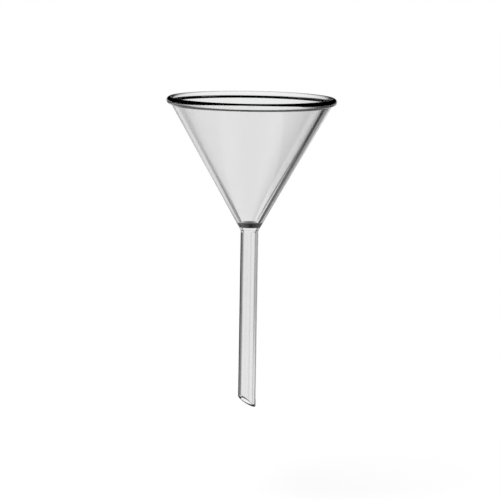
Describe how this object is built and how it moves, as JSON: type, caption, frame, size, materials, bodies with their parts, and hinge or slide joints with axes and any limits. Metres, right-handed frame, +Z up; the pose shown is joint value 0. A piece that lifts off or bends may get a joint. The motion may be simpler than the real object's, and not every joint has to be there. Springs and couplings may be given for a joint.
{
  "type": "conical glass funnel",
  "caption": "Clear glass laboratory funnel: a cone of nearly 60 degrees with a beaded mouth, running through a collared throat into a straight stem with an oblique tip, for filtering and pouring.",
  "frame": {"origin": "on the funnel's axis at the top of the straight stem, where the stem meets the throat", "axes": "+Z up the axis towards the mouth, as the funnel is held in use; the oblique tip's low side faces +X and a little -Y"},
  "size_m": [0.1006, 0.1006, 0.1851],
  "materials": {
    "glass": "polished"
  },
  "bodies": {
    "root": {"funnel": "glass"}
  },
  "joints": []
}
